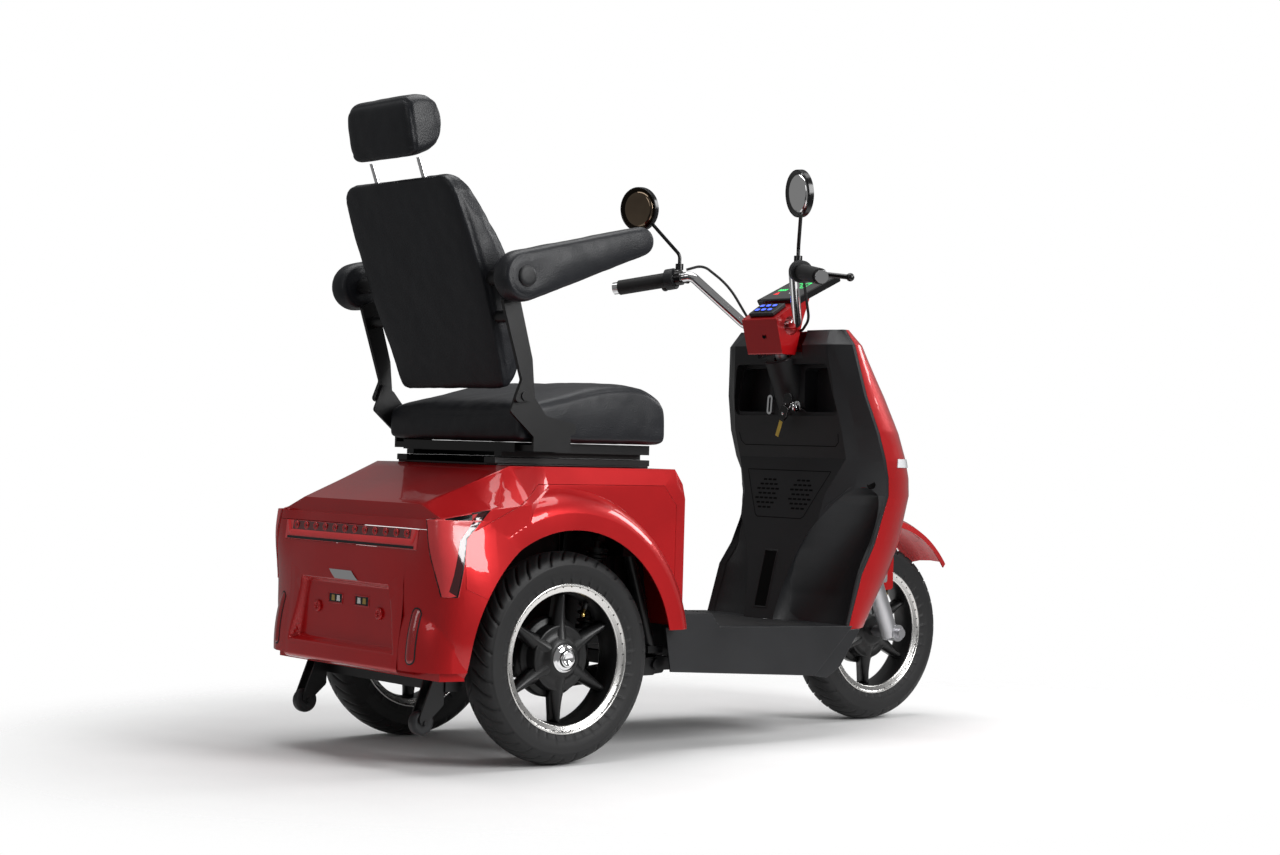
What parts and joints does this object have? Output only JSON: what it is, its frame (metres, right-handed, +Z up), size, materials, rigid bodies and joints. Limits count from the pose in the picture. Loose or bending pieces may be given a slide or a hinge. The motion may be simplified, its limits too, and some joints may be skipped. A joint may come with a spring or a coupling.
{
  "type": "electric three-wheel mobility scooter with a captain seat",
  "caption": "Electric three-wheel scooter with a red moulded body, an adjustable padded captain seat with armrests, a leg shield and a steered front wheel.",
  "frame": {"origin": "on the floor, under the middle of the vehicle's length and width", "axes": "+X forward, +Y to the rider's left, +Z up"},
  "size_m": [1.6556, 0.6896, 1.2798],
  "materials": {
    "red_paint": "metallic red gloss",
    "black_plastic": "textured satin",
    "red_lens": "clear red lens",
    "clear_lens": "clear lens",
    "black_steel": "black powder coat",
    "cast_aluminium": "cast, satin",
    "battery_case": "moulded",
    "chrome": "polished",
    "grip_rubber": "ribbed",
    "cable_rubber": "smooth",
    "mirror_black": "black shell with a mirror",
    "black_alloy": "satin black with a machined lip",
    "tyre_rubber": "tyre rubber",
    "leatherette": "grained black leatherette"
  },
  "bodies": {
    "root": {"anti_tip_arms": "black_steel", "battery_pack": "battery_case", "body_cover": "red_paint", "dash_fittings": "chrome", "drive_motor": "cast_aluminium", "footboard": "black_plastic", "frame_tubes": "black_steel", "front_cover": "red_paint", "front_lamps": "clear_lens", "leg_shield": "black_plastic", "lower_fairing": "black_plastic", "rear_axle": "black_steel", "rear_lamps": "red_lens", "rear_shocks": "black_steel", "seat_base": "black_steel", "side_panel_left": "red_paint", "side_panel_right": "red_paint", "swing_arms": "black_steel", "tail_panel": "red_paint"},
    "steering": {"fork": "cast_aluminium", "front_fender": "red_paint", "front_caliper": "cast_aluminium", "handlebar": "chrome", "grips": "grip_rubber", "switch_pods": "black_plastic", "brake_controls": "cast_aluminium", "column_cover": "red_paint", "display": "black_plastic", "mirror_left": "mirror_black", "mirror_right": "mirror_black", "control_cables": "cable_rubber", "keypad": "black_plastic"},
    "front_wheel": {"front_wheel": "black_alloy", "front_tyre": "tyre_rubber"},
    "rear_wheel_left": {"rear_wheel_left": "black_alloy", "rear_tyre_left": "tyre_rubber"},
    "rear_wheel_right": {"rear_wheel_right": "black_alloy", "rear_tyre_right": "tyre_rubber"},
    "roller_left": {"roller_left": "tyre_rubber"},
    "roller_right": {"roller_right": "tyre_rubber"},
    "seat": {"seat_carriage": "black_steel", "seat_cushion": "leatherette"},
    "back": {"backrest": "leatherette", "backrest_arms": "black_steel", "headrest": "leatherette", "headrest_posts": "chrome"},
    "armrest_left": {"armrest_left": "leatherette"},
    "armrest_right": {"armrest_right": "leatherette"}
  },
  "joints": [
    {"name": "steering", "type": "hinge", "parent": "root", "child": "steering", "pos_m": [0.37734, 0, 0.7], "axis": [-0.4067, 0, 0.9135], "range_deg": [-38, 38]},
    {"name": "front_wheel_spin", "type": "hinge", "parent": "steering", "child": "front_wheel", "pos_m": [0.61, 0, 0.205], "axis": [0, 1, 0], "continuous": true},
    {"name": "rear_wheel_left_spin", "type": "hinge", "parent": "root", "child": "rear_wheel_left", "pos_m": [-0.493, 0.25, 0.205], "axis": [0, 1, 0], "continuous": true},
    {"name": "rear_wheel_right_spin", "type": "hinge", "parent": "root", "child": "rear_wheel_right", "pos_m": [-0.493, -0.25, 0.205], "axis": [0, 1, 0], "continuous": true},
    {"name": "roller_left_spin", "type": "hinge", "parent": "root", "child": "roller_left", "pos_m": [-0.773, 0.204, 0.091], "axis": [0, 1, 0], "continuous": true},
    {"name": "roller_right_spin", "type": "hinge", "parent": "root", "child": "roller_right", "pos_m": [-0.773, -0.204, 0.091], "axis": [0, 1, 0], "continuous": true},
    {"name": "seat_slide", "type": "slide", "parent": "root", "child": "seat", "axis": [1, 0, 0], "range_m": [-0.06, 0.09]},
    {"name": "backrest_recline", "type": "hinge", "parent": "seat", "child": "back", "pos_m": [-0.584, 0, 0.705], "axis": [0, 1, 0], "range_deg": [-20, 38]},
    {"name": "armrest_left_fold", "type": "hinge", "parent": "back", "child": "armrest_left", "pos_m": [-0.631, 0.28, 0.928], "axis": [0, -1, 0], "range_deg": [0, 92]},
    {"name": "armrest_right_fold", "type": "hinge", "parent": "back", "child": "armrest_right", "pos_m": [-0.631, -0.28, 0.928], "axis": [0, -1, 0], "range_deg": [0, 92]}
  ]
}
